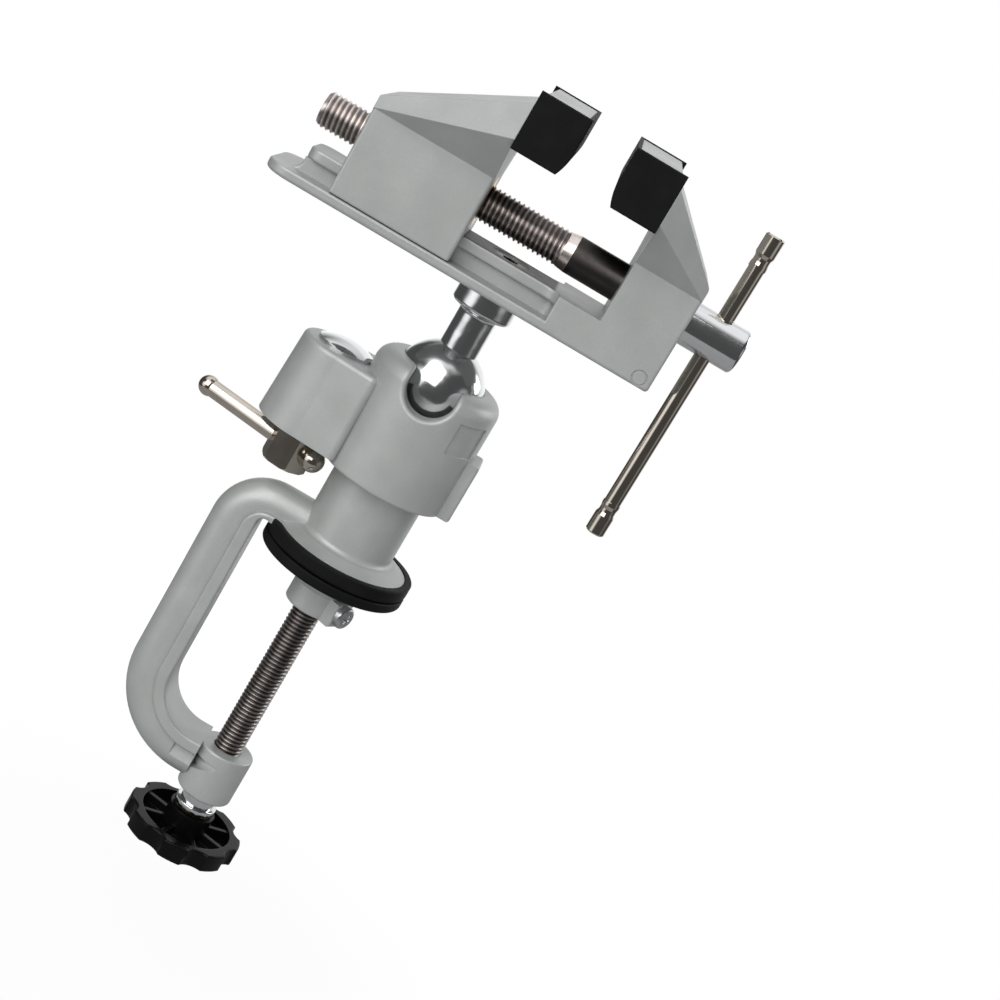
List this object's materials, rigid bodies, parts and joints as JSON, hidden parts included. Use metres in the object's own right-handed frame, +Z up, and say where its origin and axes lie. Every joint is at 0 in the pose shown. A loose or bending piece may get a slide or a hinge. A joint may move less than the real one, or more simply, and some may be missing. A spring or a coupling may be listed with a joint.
{
  "type": "ball joint bench vise",
  "caption": "Small bench vise with rubber jaw boots, a notched ball joint with one locking lever, and a C-clamp with a lobed knob for a table's edge.",
  "frame": {"origin": "centre of the upper rubber pad's clamping face, on the post's axis", "axes": "+Z up along the post; +X along the lead screw towards its head; -Y towards the socket's notch; the C-frame is on the -X side"},
  "size_m": [0.1582, 0.07, 0.2823],
  "materials": {
    "silver_paint": "silver-grey paint on cast aluminium, fine grain",
    "black_rubber": "matt black rubber",
    "zinc_steel": "zinc-plated steel",
    "spring_steel": "blackened spring steel",
    "dark_steel": "oiled dark steel, bright where it runs",
    "black_plastic": "glossy black plastic",
    "brass": "turned brass",
    "bright_chrome": "polished chrome",
    "nylon": "natural nylon"
  },
  "bodies": {
    "frame": {"clamp_frame": "silver_paint", "table_pad": "black_rubber", "post_circlip": "spring_steel"},
    "plate": {"pressure_plate": "silver_paint", "pressure_pad": "black_rubber", "plate_screw": "zinc_steel"},
    "screw": {"clamp_screw": "dark_steel", "screw_collar": "zinc_steel", "knob": "black_plastic", "knob_insert": "brass"},
    "housing": {"ball_housing": "silver_paint", "seat_piston": "zinc_steel", "clamp_plunger": "zinc_steel", "cotter_upper": "zinc_steel", "cotter_lower": "zinc_steel", "clamp_bolt": "bright_chrome"},
    "lever": {"lever_hub": "bright_chrome", "lever_bar": "bright_chrome", "lever_cap": "bright_chrome"},
    "liner": {"ball_liner": "nylon"},
    "stud": {"ball_stud": "bright_chrome"},
    "head": {"vise_base": "silver_paint", "stud_bolt": "zinc_steel", "screw_pin": "spring_steel", "jaw_boot_fixed": "black_rubber"},
    "jaw": {"movable_jaw": "silver_paint", "jaw_boot_movable": "black_rubber", "jaw_nut": "brass"},
    "lead": {"lead_screw": "dark_steel"},
    "tommy": {"tommy_bar": "bright_chrome", "tommy_end_lower": "bright_chrome", "tommy_end_upper": "bright_chrome"}
  },
  "joints": [
    {"name": "housing_swivel", "type": "hinge", "parent": "frame", "child": "housing", "pos_m": [0, 0, 0.0315], "axis": [0, 0, 1], "continuous": true},
    {"name": "lever_turn", "type": "hinge", "parent": "housing", "child": "lever", "pos_m": [-0.0314, 0, 0.0262], "axis": [0, 0, 1], "range_deg": [-110, 110]},
    {"name": "ball_side_tilt", "type": "hinge", "parent": "housing", "child": "liner", "pos_m": [0, 0, 0.068], "axis": [0, 1, 0], "range_deg": [-30, 30]},
    {"name": "ball_front_tilt", "type": "hinge", "parent": "liner", "child": "stud", "pos_m": [0, 0, 0.068], "axis": [1, 0, 0], "range_deg": [-30, 90]},
    {"name": "head_spin", "type": "hinge", "parent": "stud", "child": "head", "pos_m": [0, 0, 0.1033], "axis": [0, 0, 1], "continuous": true},
    {"name": "jaw_slide", "type": "slide", "parent": "head", "child": "jaw", "axis": [1, 0, 0], "range_m": [-0.037, 0.0148]},
    {"name": "lead_screw_turn", "type": "hinge", "parent": "head", "child": "lead", "pos_m": [0.0577, 0, 0.1266], "axis": [1, 0, 0], "continuous": true},
    {"name": "tommy_slide", "type": "slide", "parent": "lead", "child": "tommy", "axis": [0, 0, 1], "range_m": [-0.0175, 0.0545]},
    {"name": "plate_slide", "type": "slide", "parent": "frame", "child": "plate", "axis": [0, 0, 1], "range_m": [-0.058, 0]},
    {"name": "clamp_screw_turn", "type": "hinge", "parent": "plate", "child": "screw", "pos_m": [0, 0, -0.014], "axis": [0, 0, 1], "continuous": true}
  ],
  "couplings": [
    {"joint": "lead_screw_turn", "follows": "jaw_slide", "rad_per_m": -3590.4},
    {"joint": "clamp_screw_turn", "follows": "plate_slide", "rad_per_m": 4188.8}
  ]
}
